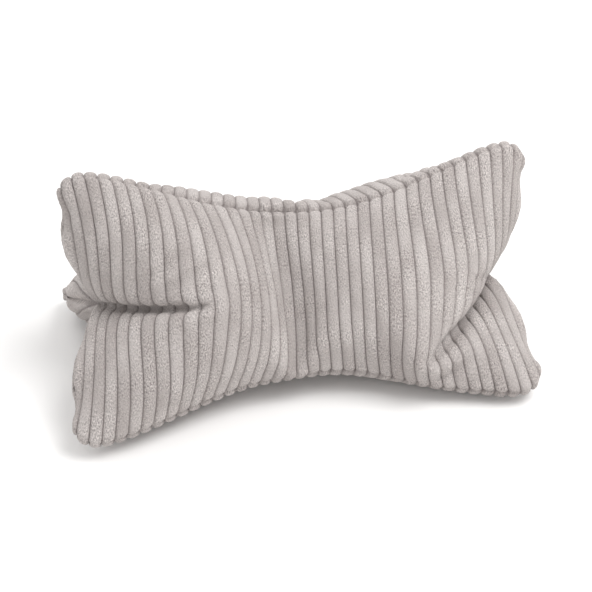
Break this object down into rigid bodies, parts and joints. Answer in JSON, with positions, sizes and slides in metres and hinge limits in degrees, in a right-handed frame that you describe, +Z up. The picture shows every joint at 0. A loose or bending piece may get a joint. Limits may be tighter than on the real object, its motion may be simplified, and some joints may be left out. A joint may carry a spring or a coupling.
{
  "type": "neck pillow",
  "caption": "Bone-shaped reading and neck pillow in ribbed corduroy, with a round waist between wide lobed ends; stands on its lower lobes.",
  "frame": {"origin": "centre of the base of the bounding box, on the surface the pillow stands on", "axes": "+X along the pillow's length, to the right seen from its front, -Y towards its front, +Z up"},
  "size_m": [0.4564, 0.2444, 0.2174],
  "materials": {
    "corduroy": "matt ribbed pile"
  },
  "bodies": {
    "root": {"panel_front": "corduroy", "panel_under": "corduroy", "panel_back": "corduroy"}
  },
  "joints": []
}
